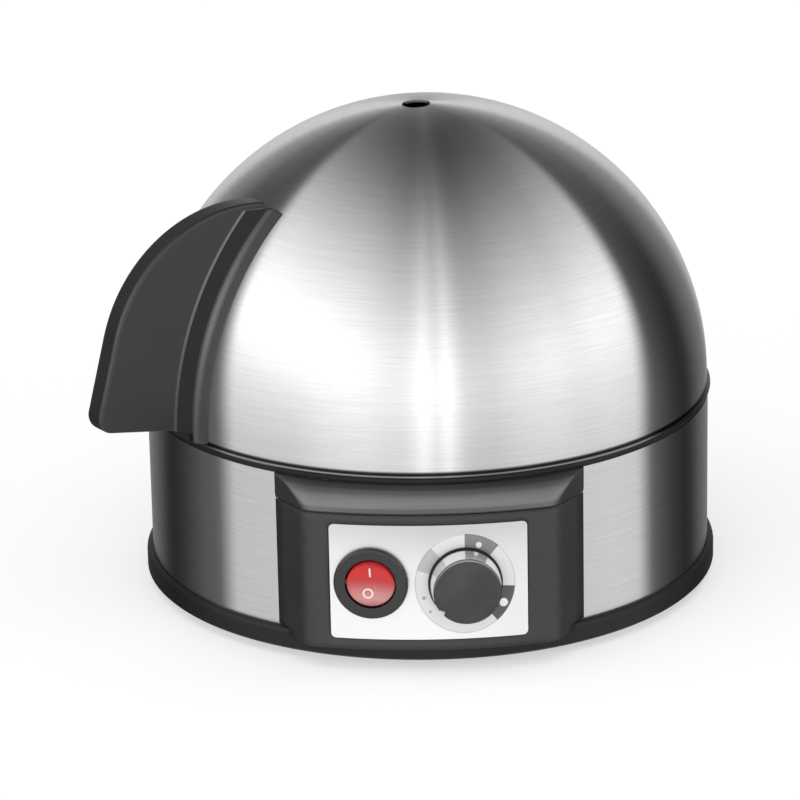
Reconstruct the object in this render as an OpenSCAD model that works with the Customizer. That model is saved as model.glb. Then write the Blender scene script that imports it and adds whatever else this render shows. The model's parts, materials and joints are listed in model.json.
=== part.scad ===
// Electric egg cooker: steel dome lid with a fin handle, steel body with a console, egg tray and heated pan.
// Millimetres. The origin is on the table under the middle of the base, the front is -Y and up is +Z.

/* [Overall] */
// Height of the lid's lower edge above the table
body_h = 61.5; // [56:0.5:72]
// Diameter of the base ring
base_d = 185; // [175:1:200]
// Turn of the lid: how far its handle points from straight left towards the front
handle_turn = 34.5; // [20:0.5:45]

/* [Lid] */
// Sheet thickness of the dome
dome_t = 0.8; // [0.6:0.1:1.2]
// Height of the straight skirt under the dome
skirt_h = 3.3; // [2.5:0.1:5]
// How far the rolled lip stands out from the skirt
lip_out = 1.1; // [0.6:0.1:1.8]
// Thickness of the rolled lip
lip_t = 1.0; // [0.8:0.1:1.4]
// Diameter of the steam vent
vent_d = 9; // [6:0.5:12]
// Distance of the vent from the top of the dome, towards the handle
vent_off = 2.4; // [0:0.2:5]

/* [Handle] */
// How far the fin stands out past the dome
fin_out = 34; // [28:0.2:40]
// Thickness of the fin
fin_t = 8; // [7.4:0.2:11]
// Radius of the fin's arched edge
fin_arc_r = 48.5; // [45:0.1:56]
// Lean of the fin's straight outer edge
fin_lean = 15.9; // [12:0.1:20]
// Length of the straight outer edge
fin_tail = 23.6; // [18:0.1:28]
// Radius of the fin's lower corner
fin_corner_r = 5; // [3:0.5:8]
// Rise of the fin's lower edge towards its tip
fin_rise = 10; // [4:0.5:14]
// Rounding of the fin's edges
fin_round = 1.0; // [0.4:0.1:1.6]
// Thickness of the saddle foot on the dome
saddle_t = 3.2; // [2.6:0.1:4]
// Width of the saddle foot where it meets the dome
saddle_w = 20.6; // [18:0.2:26]
// Depth of the bevel across the upper end of the saddle foot
saddle_bevel = 2.2; // [1.5:0.1:3]
// How far the fin's tapered root reaches up from the saddle foot
root_h = 5.1; // [3:0.1:7]
// Angle that the saddle foot climbs up the dome
saddle_sweep = 48; // [44:0.5:52]
// Radius of the handle screws
handle_screw_r = 2; // [1.5:0.1:2.2]

/* [Body] */
// Height of the base ring's lower edge above the table
ring_lift = 2.5; // [2:0.1:4]
// Height of the base ring
ring_h = 7.1; // [6.5:0.1:9]
// Sheet thickness of the body band
band_t = 0.6; // [0.5:0.05:0.8]
// Thickness of the rim ring's flange
rim_t = 1.5; // [1.2:0.1:2]
// Wall of the moulded rings
ring_wall = 2; // [1.6:0.1:2.4]
// Diameter of a rubber foot
foot_d = 16; // [12:1:20]

/* [Console] */
// Radius of the console's curved front
front_r = 142; // [125:1:170]
// How far the console's front stands out past the base ring
console_out = 3; // [2:0.1:4.5]
// Half width of the console at its front corners
corner_x = 41.2; // [39:0.2:43]
// How much the console widens on each side towards the band
console_flare = 6.2; // [5:0.1:7.6]
// Radius of the console's front corners
console_corner_r = 8; // [4:0.5:10]
// Wall of the console
console_wall = 2.5; // [2:0.1:3]
// Drop of the sloped hood
hood_drop = 8; // [6:0.5:10]
// How far the console hangs down over the base ring
console_hang = 2.3; // [1:0.1:3]
// Width of the face plate
plate_w = 60.4; // [57:0.2:62]
// How far the middle of the face plate lies left of the middle of the front
plate_left = 0.65; // [0:0.05:1.5]
// Thickness of the face plate
plate_t = 0.8; // [0.6:0.1:1]
// Margin above and below the face plate
plate_margin = 3.55; // [2.6:0.05:4.2]

/* [Switch] */
// Thickness of the switch bezel
bezel_t = 1.8; // [1.4:0.1:2.4]
// Depth of the switch barrel behind the plate
barrel_l = 18; // [15:0.5:21]
// Radius of the round rocker
rocker_r = 7.6; // [7:0.1:8]
// Angle that each half of the rocker is tilted outwards
rocker_vee = 8; // [4:0.5:10]
// Total throw of the rocker
rocker_throw = 20; // [16:1:24]

/* [Knob] */
// Distance of the knob from the middle of the front
knob_x = 10.45; // [9.8:0.05:12]
// Radius of the knob's foot at the plate
knob_r = 11.4; // [10.6:0.1:11.6]
// How much narrower the knob's face is than its foot
knob_taper = 1; // [0.8:0.1:1.6]
// How far the knob stands out from the plate
knob_h = 9; // [7.5:0.1:11]
// Wall of the bright sleeve round the knob
sleeve_t = 0.8; // [0.6:0.1:1]
// Radius of the control shaft
shaft_r = 2.5; // [2:0.1:3]

/* [Pan and tray] */
// Depth of the heating pan below its flange
pan_depth = 15; // [13:0.5:17]
// Sheet thickness of the pan
pan_t = 1; // [0.8:0.1:1.2]
// Thickness of the egg tray
tray_t = 1.6; // [1.2:0.1:2.2]
// Radius of one egg seat
seat_r = 17.5; // [15:0.5:19]
// Depth of the collar under each egg seat
collar_h = 6; // [4:0.5:7]
// Height of the tray's grips
grip_h = 26; // [22:1:30]

/* [Heater] */
// Thickness of the heat plate
heat_plate_t = 3.5; // [3:0.1:5]
// Radius of the heating element's tube
element_r = 3.3; // [2.8:0.1:3.6]
// Half the distance between the pull-down studs
stud_x = 26; // [22:1:30]

/* [Cord inlet] */
// Radius of the bore for the cord
cord_r = 3.6; // [3:0.1:4.2]

/* [Hidden] */
$fn = 96;
clear = 0.3;      // between pieces that move apart
seat = 0.1;       // between pieces that are fixed to each other
run_fit = 0.05;   // radial clearance of shafts, pins and screws
press = 0.02;     // radial clearance of a pressed fit
cut = 1;          // how far a cutting shape runs past a face

// Radii of the body, from the base ring in
ring_out = 2;
band_proud = 0.3;
ring_r = base_d / 2;
band_r = ring_r - ring_out;
dome_r = band_r - band_proud;

// Heights of the body, from the table up and from the lid down
dome_z = body_h + skirt_h;
total_h = dome_z + dome_r;
ring_top = ring_lift + ring_h;
ring_chamfer = 0.8;
ring_round = ring_r - band_r - seat;
skirt_wall = 2.4;
skirt_in = ring_r - skirt_wall;
rim_top = body_h - clear;
band_top = rim_top - rim_t;
floor_t = 2;
cover_t = 2;
cover_recess = 0.9;
cover_z = ring_lift + cover_recess;
floor_z = cover_z + cover_t;
ledge_z = floor_z + floor_t;
boss_z = floor_z + floor_t / 2;
band_in = band_r - band_t;
spigot_r = band_in - 2 * seat;
spigot_in = spigot_r - ring_wall;
spigot_h = 6.6;
foot_edge = 0.8;
foot_stem_r = 3;
foot_barb = 0.8;
foot_barb_h = 2;

// Screws: tie screws clamp base ring, band and rim ring; cover screws hold the bottom cover
screw_head_r = 2.8;
screw_head_h = 1.8;
slot_w = 0.8;
slot_d = 0.9;
tie_r = 2;
tie_boss_r = 3.3;
tie_circle_r = spigot_in - tie_boss_r;
tie_angles = [45, 135, 225, 315];
tie_end = 1.5;
cover_gap = 1.6;
cover_lap = 8;
foot_inset = 10;
cover_r = tie_circle_r - screw_head_r - cover_gap;
floor_in = cover_r - cover_lap;
foot_circle_r = floor_in - foot_inset;
cover_screw_r = 1.5;
cover_screw_l = 10;
cover_boss_r = 3.5;
boss_edge = 0.5;
cover_circle_r = floor_in + cover_boss_r + boss_edge;
cover_angles = [90, 210, 330];

// Pan, gasket, heat plate and pull-down bar
gasket_t = 0.5;
gasket_w = 4;
pan_top = rim_top + gasket_t + pan_t;
pan_floor = pan_top - pan_t - pan_depth;
pan_base = pan_floor - pan_t;
flange_gap = 2.4;
flange_w = 8;
pan_flange_r = dome_r - dome_t - flange_gap;
pan_r = pan_flange_r - flange_w;
pan_draft = 3;
pan_lean = 10;
pan_corner = 6;
pan_room = 2;
rim_in = pan_r + pan_t + pan_room;
heat_margin = 21;
heat_plate_r = pan_r - heat_margin;
heat_plate_z = pan_base - heat_plate_t;
element_inset = 14;
element_ring_r = heat_plate_r - element_inset;
element_drop = 0.4;
element_z = heat_plate_z - element_drop;
element_gap = 40;
element_end = 2;
end_step = 0.5;
pin_l = 12;
pin_r = 1.4;
bar_t = 1.2;
bar_w = 14;
bar_drop = 17.8;
bar_z = heat_plate_z - bar_drop;
bar_screw_r = 1.5;
bar_screw_l = 9;
post_r = 5;
post_edge = 1;
post_x = floor_in + post_r + post_edge;
stud_r = 2;
nut_h = 3.2;
nut_r = 4;
cutout_r = 8;
cutout_h = 10;
cutout_ears = [24, 10, 1.2];
blade = [0.8, 6, 5];
blade_x = 4;

// Tray
tray_gap = 3.9;
tray_r = dome_r - dome_t - tray_gap;
tray_z = pan_top + clear;
seat_angles = [for (i = [0:5]) 30 + 60 * i];
collar_wall = 1.6;
seat_margin = 6.9;
seat_circle_r = pan_r - seat_margin - collar_wall - seat_r;
steam_r = 2.5;
steam_gap = 5.4;
steam_circle_r = seat_r + collar_wall + steam_gap + steam_r;
steam_angles = [for (i = [0:5]) 60 * i];
grip_inset = 8;
grip_x = tray_r - grip_inset;
grip_t = 4;
grip_w = 34;
grip_bar = 5.5;
grip_corner = 7;
grip_root = 10;
grip_sink = 0.2;

// Console front: an arc about an upright axis behind the middle of the body
front_y = ring_r + console_out;
arc_y = front_r - front_y;
root_x = corner_x + console_flare;
root_y = sqrt(pow(band_r, 2) - pow(root_x, 2));
console_z = ring_top - console_hang;
hood_top = band_top - seat;
front_top = hood_top - hood_drop;
hood_seam = 0.35;
hood_lip = 0.6;
hood_edge = 0.4;
hood_roll = 1.45;
hood_steps = 6;
front_steps = 24;
corner_steps = 8;
controls_z = (console_z + front_top) / 2;
plate_h = front_top - console_z - 2 * plate_margin;
plate_corner_r = 1.5;
plate_gap = 0.35;
plate_proud = 0.08;
front_wall = console_wall + plate_t;
boss_in = 4;
boss_x = corner_x - boss_in;
boss_r = 2.8;
window_gap = 1.7;
window_x = boss_x - screw_head_r - window_gap;
window_rise = 5.5;
window_z = console_z + window_rise;
boss_skin = 1;
boss_low = ledge_z + spigot_h + screw_head_r + clear;
boss_high = front_top - boss_low + console_z;
boss_y = sqrt(pow(band_in, 2) - pow(boss_x + screw_head_r, 2)) - seat;
console_screw_r = 1.5;
console_screw_l = 6.5;

// Switch and rotary control, placed on the curved front by their angle round its axis
cavity_r = rocker_r + clear;
barrel_wall = 1.6;
barrel_r = cavity_r + barrel_wall;
barrel_hole_r = barrel_r + 2 * seat;
bezel_rim = 2;
bezel_r = barrel_r + bezel_rim;
bezel_round = 1;
bezel_in = 1.1;
switch_x = plate_w / 2 + plate_left - bezel_in - bezel_r;
switch_a = -asin(switch_x / front_r);
knob_a = asin(knob_x / front_r);
cavity_l = 9.5;
pivot_y = 0.6;
pivot_r = 1;
pivot_wall = 0.4;
rocker_face = 1.6;
rocker_back = 4.4;
terminal = [4.8, 8, 0.8];
terminal_x = 5;
lamp_r = 2;
lamp_l = 2.6;
bushing_wall = 1.05;
bushing_r = shaft_r + run_fit + bushing_wall;
bushing_out = 2.6;
control_size = 17;
control_l = 11;
control_y = front_wall + sagitta(front_r - front_wall, control_size / 2) + seat;
control_nut_r = bushing_r + 1.6;
control_nut_t = 2.1;
shaft_in = 4;
knob_gap = 0.5;
knob_top_t = 1.5;
knob_foot_t = 1;
knob_cap_t = 1.2;
knob_edge = 0.4;
knob_hollow_r = control_nut_r + 4 * clear;
knob_hollow_h = 2.6;
knob_face_r = knob_r - knob_taper;
knob_core_r = knob_face_r - sleeve_t - seat / 2;
sleeve_inset = 0.4;
sleeve_h = knob_h - knob_gap - knob_foot_t - knob_cap_t - 2 * press;
pointer_a = 219;
pointer_r = 1.1;
pointer_d = knob_h - knob_gap - knob_foot_t;
board_left = 12;
board_gap = 1.55;
board_margin = 5.65;
board = [board_left + window_x - knob_x - board_gap, 1.6, front_top - console_z - 2 * board_margin];
relay = [16, 12, 10];
relay_at = [3, -12];
plug = [9, 7, 10];
plug_at = [-9, 2];
capacitor_r = 4.5;
capacitor_l = 10;
capacitor_at = [13, 8];

// Cord inlet
gland_wall = 2.9;
gland_lip = 3;
gland_barrel_r = cord_r + gland_wall;
gland_flange_r = gland_barrel_r + gland_lip;
gland_flange_t = 1.8;
gland_bevel = 1;
gland_in = 12;
gland_nut_w = 2.5;
gland_nut_r = gland_barrel_r + gland_nut_w;
gland_nut_t = 3;
gland_nut_y = sqrt(pow(band_in, 2) - pow(gland_nut_r, 2)) - seat;
inlet_gap = 1;
inlet_z = ledge_z + spigot_h + gland_nut_r + inlet_gap;
block = [26, 14, 13];
block_gap = 2.7;
block_y = floor_in - clear - ring_wall - block_gap - block[1] / 2;
pole_x = [-8, 0, 8];
pole_z = 5;
pole_wire_r = 2;
pole_screw_r = 1.6;
pole_screw_y = 3.5;

// Handle: arcs worked out about the dome's centre
side_lean = 1.3;
side_h = 0.6 * saddle_t;
side_w = saddle_w / 2 - side_lean;
land_w = 2.5;
root_w = side_w - land_w;
root_base = sqrt(pow(dome_r + saddle_t, 2) - pow(root_w, 2));
saddle_drop = skirt_h - lip_t - clear;
fin_x = dome_r + fin_out - fin_arc_r * cos(fin_lean) - fin_tail * sin(fin_lean);
fin_top = (dome_r + saddle_t) * [cos(saddle_sweep), sin(saddle_sweep)];
fin_z = fin_top[1] - sqrt(pow(fin_arc_r, 2) - pow(fin_top[0] - fin_x, 2));
fin_start = acos((fin_top[0] - fin_x) / fin_arc_r);
fin_mid = fin_round * (1 - cos(45));
fin_root = 4;
tail_end = [fin_x, fin_z] + fin_arc_r * [cos(fin_lean), sin(fin_lean)]
    + fin_tail * [sin(fin_lean), -cos(fin_lean)];
fin_corner = tail_end - fin_corner_r * [cos(fin_lean), sin(fin_lean)];
handle_screw_angles = [14, 33];
handle_screw_l = 12;
handle_head_r = 3.6;
handle_head_h = 2.2;
handle_head_at = sqrt(pow(dome_r - dome_t, 2) - pow(handle_head_r, 2)) - seat;

// Points along an arc in n steps
function arc(c, r, a, b, n) =
    [for (i = [0:n]) c + r * [cos(a + (b - a) * i / n), sin(a + (b - a) * i / n)]];

// How far an arc of radius r falls back at the distance x from its middle
function sagitta(r, x) = r - sqrt(pow(r, 2) - pow(x, 2));

// Copies round the upright axis
module around(r, angles) for (a = angles) rotate([0, 0, a]) translate([r, 0, 0]) children();

// Frame on the console's curved front: -Y points out of the front, X runs along it
module on_front(a)
    translate([0, arc_y, controls_z]) rotate([0, 0, a]) translate([0, -front_r, 0]) children();

// The same with +Z pointing out of the front, for round pieces
module out_of_front(a) on_front(a) rotate([90, 0, 0]) children();

// Frame of the lid: origin at the dome's centre, X towards the handle
module on_lid() translate([0, 0, dome_z]) rotate([0, 0, 180 + handle_turn]) children();

// Pan-head screw along +Z with a cross recess: the head's underside is at the origin
module screw(r, l, head_r, head_h) {
    cylinder(r = r, h = l);
    difference() {
        translate([0, 0, -head_h]) cylinder(r1 = head_r - head_h / 3, r2 = head_r, h = head_h);
        for (a = [0, 90]) rotate([0, 0, a])
            translate([-slot_w / 2, -head_r / 2, -head_h - cut]) cube([slot_w, head_r, slot_d + cut]);
    }
}

// Flat ring on the XY plane
module ring(outer_r, inner_r, h) difference() {
    cylinder(r = outer_r, h = h);
    translate([0, 0, -cut]) cylinder(r = inner_r, h = h + 2 * cut);
}

module rounded_rect(w, h, r) {
    square([w - 2 * r, h], center = true);
    square([w, h - 2 * r], center = true);
    for (x = [-1, 1], y = [-1, 1]) translate([x * (w / 2 - r), y * (h / 2 - r)]) circle(r = r);
}

// Part of the curved front within a rounded rectangle, between two depths behind the front
module front_patch(w, h, r, depth_in, depth_out) intersection() {
    translate([0, arc_y, 0]) difference() {
        cylinder(r = front_r - depth_out, h = total_h, $fn = 360);
        translate([0, 0, -cut]) cylinder(r = front_r - depth_in, h = total_h + 2 * cut, $fn = 360);
    }
    translate([-plate_left, 0, controls_z]) rotate([90, 0, 0])
        linear_extrude(front_y + 2 * cut) rounded_rect(w, h, r);
}

// Base

module rubber_feet() color("#1c1c1c") around(foot_circle_r, tie_angles) {
    cylinder(r1 = foot_d / 2 - foot_edge, r2 = foot_d / 2, h = cover_z - seat);
    cylinder(r = foot_stem_r, h = floor_z + foot_barb_h / 2);
    translate([0, 0, floor_z + seat])
        cylinder(r1 = foot_stem_r + foot_barb, r2 = foot_stem_r - foot_barb, h = foot_barb_h);
}

module bottom_cover() color("#262628") difference() {
    union() {
        translate([0, 0, cover_z]) cylinder(r = cover_r, h = cover_t);
        translate([0, 0, floor_z]) ring(floor_in - clear, floor_in - clear - ring_wall, floor_t);
    }
    around(foot_circle_r, tie_angles) cylinder(r = foot_stem_r + run_fit, h = 2 * floor_z);
    around(cover_circle_r, cover_angles) cylinder(r = cover_screw_r + run_fit, h = 2 * floor_z);
}

module cover_screws() color("silver") around(cover_circle_r, cover_angles)
    translate([0, 0, cover_z - seat]) screw(cover_screw_r, cover_screw_l, screw_head_r, screw_head_h);

module base_ring_profile() polygon(concat(
    [[skirt_in, ring_lift], [ring_r - ring_chamfer, ring_lift], [ring_r, ring_lift + ring_chamfer]],
    arc([ring_r - ring_round, ring_top - ring_round], ring_round, 0, 90, 8),
    [[band_r + seat, ring_top], [band_r + seat, ledge_z], [spigot_r, ledge_z],
     [spigot_r, ledge_z + spigot_h], [spigot_in, ledge_z + spigot_h], [spigot_in, ledge_z],
     [floor_in, ledge_z], [floor_in, floor_z], [skirt_in, floor_z]]));

module base_ring() color("#2b2b2d") difference() {
    union() {
        rotate_extrude($fn = 180) base_ring_profile();
        translate([0, 0, boss_z]) {
            around(tie_circle_r, tie_angles) cylinder(r = tie_boss_r, h = spigot_h);
            around(cover_circle_r, cover_angles) cylinder(r = cover_boss_r, h = spigot_h);
            around(post_x, [0, 180]) cylinder(r = post_r, h = bar_z - boss_z);
        }
    }
    around(tie_circle_r, tie_angles) cylinder(r = tie_r + run_fit, h = total_h / 3);
    around(cover_circle_r, cover_angles) cylinder(r = cover_screw_r + run_fit, h = total_h / 3);
    around(post_x, [0, 180]) translate([0, 0, bar_z - bar_screw_l])
        cylinder(r = bar_screw_r + run_fit, h = bar_screw_l + cut);
}

module tie_screws() color("silver") around(tie_circle_r, tie_angles) translate([0, 0, floor_z - seat])
    screw(tie_r, band_top - floor_z - 2 * tie_end, screw_head_r, screw_head_h);

module body_band() color("#b9bbbd") difference() {
    translate([0, 0, ledge_z + seat]) cylinder(r = band_r, h = band_top - ledge_z - 2 * seat, $fn = 180);
    cylinder(r = band_in, h = total_h, $fn = 180);
    translate([-window_x, -front_y, window_z]) cube([2 * window_x, front_y, front_top - window_z]);
    console_screw_places() cylinder(r = console_screw_r + run_fit, h = 4 * console_screw_l, center = true);
    translate([0, 0, inlet_z]) rotate([-90, 0, 0]) cylinder(r = gland_barrel_r + run_fit, h = ring_r);
}

module rim_ring() color("#202022") difference() {
    union() {
        rotate_extrude($fn = 180)
            polygon([[rim_in, band_top], [spigot_in, band_top], [spigot_in, band_top - spigot_h],
                [spigot_r, band_top - spigot_h], [spigot_r, band_top], [band_r - 2 * seat, band_top],
                [band_r - 2 * seat, rim_top], [rim_in, rim_top]]);
        around(tie_circle_r, tie_angles)
            translate([0, 0, band_top - spigot_h]) cylinder(r = tie_boss_r, h = spigot_h);
    }
    around(tie_circle_r, tie_angles) cylinder(r = tie_r + run_fit, h = band_top - tie_end);
}

// Heater

module pan_gasket() color("#7a2f28")
    translate([0, 0, rim_top]) ring(pan_flange_r, pan_flange_r - gasket_w, gasket_t);

module pan_profile(r, z, corner) polygon(concat(
    [[0, z], [r - pan_draft - corner, z]],
    arc([r - pan_draft - corner, z + corner], corner, -90, -pan_lean, 8),
    [[r, pan_top - pan_t], [r, total_h], [0, total_h]]));

module heating_pan() color("#55565a") rotate_extrude($fn = 180) difference() {
    union() {
        intersection() {
            pan_profile(pan_r + pan_t, pan_base, pan_corner + pan_t);
            square([pan_flange_r, pan_top]);
        }
        translate([pan_r, pan_top - pan_t]) square([pan_flange_r - pan_r, pan_t]);
    }
    pan_profile(pan_r, pan_floor, pan_corner);
}

module heat_plate() color("#a7a9ab") {
    difference() {
        translate([0, 0, heat_plate_z]) cylinder(r = heat_plate_r, h = heat_plate_t);
        translate([0, 0, element_z]) rotate_extrude()
            translate([element_ring_r, 0]) circle(r = element_r + run_fit);
    }
    around(stud_x, [0, 180]) translate([0, 0, bar_z - nut_h - cut])
        cylinder(r = stud_r, h = heat_plate_z - bar_z + nut_h + 2 * cut);
}

module heating_element() color("#6d5a4a") translate([0, 0, element_z]) {
    rotate([0, 0, 90 + element_gap / 2]) rotate_extrude(angle = 360 - element_gap)
        translate([element_ring_r, 0]) circle(r = element_r);
    around(element_ring_r, [90 - element_gap / 2, 90 + element_gap / 2]) {
        translate([0, 0, -element_r - element_end])
            cylinder(r = element_r - end_step, h = element_r + element_end);
        translate([0, 0, -element_r - pin_l]) cylinder(r = pin_r, h = pin_l + element_r);
    }
}

module pull_down_bar() color("#9a9c9e") translate([0, 0, bar_z + seat]) difference() {
    union() {
        translate([-post_x, -bar_w / 2, 0]) cube([2 * post_x, bar_w, bar_t]);
        around(post_x, [0, 180]) cylinder(r = bar_w / 2, h = bar_t);
    }
    translate([0, 0, -cut]) {
        around(post_x, [0, 180]) cylinder(r = bar_screw_r + run_fit, h = bar_t + 2 * cut);
        around(stud_x, [0, 180]) cylinder(r = stud_r + run_fit, h = bar_t + 2 * cut);
    }
}

module bar_screws() color("silver") around(post_x, [0, 180])
    translate([0, 0, bar_z + bar_t + 2 * seat]) rotate([180, 0, 0])
        screw(bar_screw_r, bar_screw_l, screw_head_r, screw_head_h);

module stud_nuts() color("silver") around(stud_x, [0, 180]) translate([0, 0, bar_z - nut_h]) difference() {
    cylinder(r = nut_r, h = nut_h, $fn = 6);
    translate([0, 0, -cut]) cylinder(r = stud_r + run_fit, h = nut_h + 2 * cut);
}

module thermal_cutout() color("#d8d2c4") translate([0, 0, heat_plate_z - cutout_h]) {
    cylinder(r = cutout_r, h = cutout_h - seat);
    translate([-cutout_ears[0] / 2, -cutout_ears[1] / 2, cutout_h - seat - cutout_ears[2]])
        cube(cutout_ears);
    for (x = [-1, 1]) translate([x * blade_x - blade[0] / 2, -blade[1] / 2, -blade[2]])
        cube(blade + [0, 0, cut]);
}

// Console

// Points of the console's outline in plan: curved front, rounded corners, sides that widen towards the band
function console_points(front_in, side_in) = let(
    r = console_corner_r,
    front = front_r - front_in,
    centre_x = corner_x - side_in - r,
    centre_y = sqrt(pow(front - r, 2) - pow(centre_x, 2)) - arc_y,
    turn = asin(centre_x / (front - r)),
    to_root = [root_x - side_in - centre_x, centre_y - root_y],
    end = atan2(to_root[1], to_root[0]) - acos(r / norm(to_root)))
    concat(arc([0, arc_y], front, -90 - turn, -90 + turn, front_steps),
        arc([centre_x, -centre_y], r, -90 + turn, end, corner_steps),
        [[root_x - side_in, -root_y], [root_x - side_in, -band_r / 2],
         [side_in - root_x, -band_r / 2], [side_in - root_x, -root_y]],
        arc([-centre_x, -centre_y], r, 180 - end, 270 - turn, corner_steps));

module console_plan(front_in, side_in) polygon(console_points(front_in, side_in));

// Points of the hood's upper edge, a sector of the rim, in the order of the console's outline
function hood_points(in) = let(
    edge_r = band_r + hood_lip - in,
    half = asin((root_x - in) / edge_r),
    turn = asin((corner_x - in - console_corner_r) / edge_r),
    root = edge_r * [sin(half), -cos(half)])
    concat(arc([0, 0], edge_r, -90 - turn, -90 + turn, front_steps),
        arc([0, 0], edge_r, -90 + turn, -90 + half, corner_steps),
        [root, [root_x - in, -band_r / 2], [in - root_x, -band_r / 2], [-root[0], root[1]]],
        arc([0, 0], edge_r, 270 - half, 270 - turn, corner_steps));

// The hood from its lower outline on the console up to the rim: it rolls over, steep below and flatter above
module hood_form(in) hull() for (i = [0:hood_steps]) {
    up = i / hood_steps;
    over = 1 - pow(1 - pow(up, hood_roll), 1 / hood_roll);
    translate([0, 0, front_top + up * (hood_drop - hood_edge - in)]) linear_extrude(hood_edge)
        polygon((1 - over) * console_points(in, in) + over * hood_points(in));
}

module console_screw_places() for (x = [-boss_x, boss_x], z = [boss_low, boss_high])
    translate([x, -boss_y, z]) rotate([90, 0, 0]) children();

// Room for the band and the base ring inside the console and hood
module body_space() translate([0, 0, -cut]) {
    cylinder(r = band_r + seat, h = total_h, $fn = 180);
    cylinder(r = ring_r + clear, h = ring_top + clear + cut, $fn = 180);
}

// Holes for the switch barrel and the control bushing through the front
module control_holes() {
    out_of_front(switch_a) cylinder(r = barrel_hole_r, h = barrel_l, center = true);
    out_of_front(knob_a) cylinder(r = bushing_r + run_fit, h = barrel_l, center = true);
}

module control_console() color("#2e2e30") difference() {
    union() {
        difference() {
            translate([0, 0, console_z])
                linear_extrude(front_top - console_z - hood_seam) console_plan(0, 0);
            translate([0, 0, console_z + console_wall])
                linear_extrude(front_top - console_z) console_plan(front_wall, console_wall);
        }
        intersection() {
            console_screw_places() cylinder(r = boss_r, h = 2 * console_screw_l);
            translate([0, 0, console_z])
                linear_extrude(front_top - console_z) console_plan(boss_skin, boss_skin);
        }
    }
    body_space();
    front_patch(plate_w + 2 * plate_gap, plate_h + 2 * plate_gap, plate_corner_r + plate_gap, plate_t, -cut);
    control_holes();
    console_screw_places() cylinder(r = console_screw_r + run_fit, h = console_screw_l + cut);
}

module console_hood() color("#3a3a3c") difference() {
    hood_form(0);
    translate([0, 0, -seat]) hood_form(console_wall);
    body_space();
}

module console_screws() color("silver") console_screw_places()
    screw(console_screw_r, console_screw_l, screw_head_r, screw_head_h);

module face_plate() color("#c3c5c7") difference() {
    front_patch(plate_w, plate_h, plate_corner_r, plate_t - press, -plate_proud);
    control_holes();
}

// Switch

module switch_housing() color("#161617") out_of_front(switch_a) difference() {
    rotate_extrude() {
        translate([0, seat]) square([bezel_r, bezel_t - bezel_round - seat]);
        translate([0, seat]) square([bezel_r - bezel_round, bezel_t - seat]);
        intersection() {
            translate([bezel_r - bezel_round, bezel_t - bezel_round]) circle(r = bezel_round);
            translate([0, seat]) square([2 * bezel_r, bezel_t]);
        }
        translate([0, -barrel_l]) square([barrel_r, barrel_l + bezel_t / 2]);
    }
    translate([0, 0, -cavity_l]) cylinder(r = cavity_r, h = cavity_l + bezel_t + cut);
    translate([0, 0, -pivot_y]) rotate([0, 90, 0])
        cylinder(r = pivot_r + run_fit, h = 2 * (barrel_r - pivot_wall), center = true);
}

module switch_terminals() color("#c9a24a") on_front(switch_a) for (x = [-terminal_x, terminal_x])
    translate([x - terminal[0] / 2, barrel_l + press, -terminal[2] / 2]) cube(terminal);

module switch_lamp() color("#d98a3a") out_of_front(switch_a)
    translate([0, 0, seat - cavity_l]) cylinder(r = lamp_r, h = lamp_l);

module rocker_button() color("#c3161c") on_front(switch_a)
    translate([0, pivot_y, 0]) rotate([rocker_throw / 2, 0, 0]) {
        edge = rocker_face + rocker_r * tan(rocker_vee);
        far = 2 * rocker_r;
        difference() {
            rotate([90, 0, 90]) difference() {
                sphere(r = rocker_r);
                linear_extrude(3 * rocker_r, center = true)
                    polygon([[-far, -rocker_r], [-edge, -rocker_r], [-rocker_face, 0], [-edge, rocker_r],
                        [-far, rocker_r]]);
            }
            translate([-rocker_r, rocker_back, -rocker_r]) cube(2 * rocker_r);
        }
        rotate([0, 90, 0]) cylinder(r = pivot_r, h = 2 * (barrel_r - pivot_wall - clear), center = true);
    }

// Rotary control

module control_body() color("#3b4a3f") on_front(knob_a) difference() {
    union() {
        translate([-control_size / 2, control_y, -control_size / 2])
            cube([control_size, control_l, control_size]);
        rotate([90, 0, 0]) translate([0, 0, -control_y - cut])
            cylinder(r = bushing_r, h = control_y + bushing_out + cut);
    }
    rotate([90, 0, 0]) translate([0, 0, -control_y - shaft_in - cut])
        cylinder(r = shaft_r + run_fit, h = control_y + shaft_in + bushing_out + 2 * cut);
}

module control_nut() color("silver") out_of_front(knob_a) translate([0, 0, seat]) difference() {
    cylinder(r = control_nut_r, h = control_nut_t, $fn = 6);
    translate([0, 0, -cut]) cylinder(r = bushing_r + run_fit, h = control_nut_t + 2 * cut);
}

module control_board() color("#2f5d3a")
    on_front(knob_a) translate([0, control_y + control_l + seat, 0]) {
        translate([-board_left, 0, -board[2] / 2]) cube(board);
        translate([relay_at[0], board[1] - seat, relay_at[1]]) cube(relay);
        translate([plug_at[0], board[1] - seat, plug_at[1]]) cube(plug);
        translate([capacitor_at[0], board[1] - seat, capacitor_at[1]])
            rotate([-90, 0, 0]) cylinder(r = capacitor_r, h = capacitor_l);
    }

module control_shaft() color("silver") out_of_front(knob_a) translate([0, 0, -control_y - shaft_in])
    cylinder(r = shaft_r, h = control_y + shaft_in + knob_h - knob_top_t);

// Groove down the side of the knob, from its rim to its foot, that points at the dial
module pointer_notch() rotate([0, 0, pointer_a])
    translate([knob_face_r, 0, knob_h - pointer_d])
        cylinder(r = pointer_r, h = pointer_d + cut);

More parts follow.
